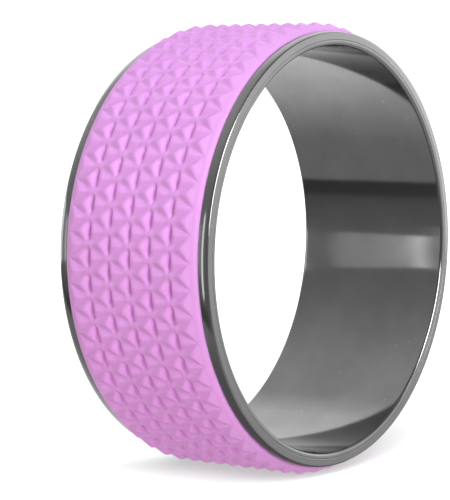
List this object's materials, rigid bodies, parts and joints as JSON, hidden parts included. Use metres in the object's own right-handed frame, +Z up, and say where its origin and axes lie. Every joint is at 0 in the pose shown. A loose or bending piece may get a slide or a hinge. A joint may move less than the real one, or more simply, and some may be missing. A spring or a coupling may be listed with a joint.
{
  "type": "yoga wheel",
  "caption": "Upright hoop with a foam tread of raised triangular pyramids on a glossy plastic core with rounded end rings, rolled under the back for stretching and balance work.",
  "frame": {"origin": "centre of the wheel, on its axis, midway between the two rim faces", "axes": "+Y along the wheel's axis, from the near rim face at -Y to the far one; +Z up, with the wheel standing on its tread at -Z"},
  "size_m": [0.33, 0.13, 0.3298],
  "materials": {
    "core_plastic": "polished moulded ABS, dark grey",
    "rim_plastic": "polished moulded ABS, dark grey",
    "tread_foam": "matte closed-cell foam, orchid pink",
    "bond_film": "clear amber contact adhesive"
  },
  "bodies": {
    "root": {"core_hoop": "core_plastic", "front_rim_ring": "rim_plastic", "rear_rim_ring": "rim_plastic", "tread_mat": "tread_foam", "mat_adhesive": "bond_film"}
  },
  "joints": []
}
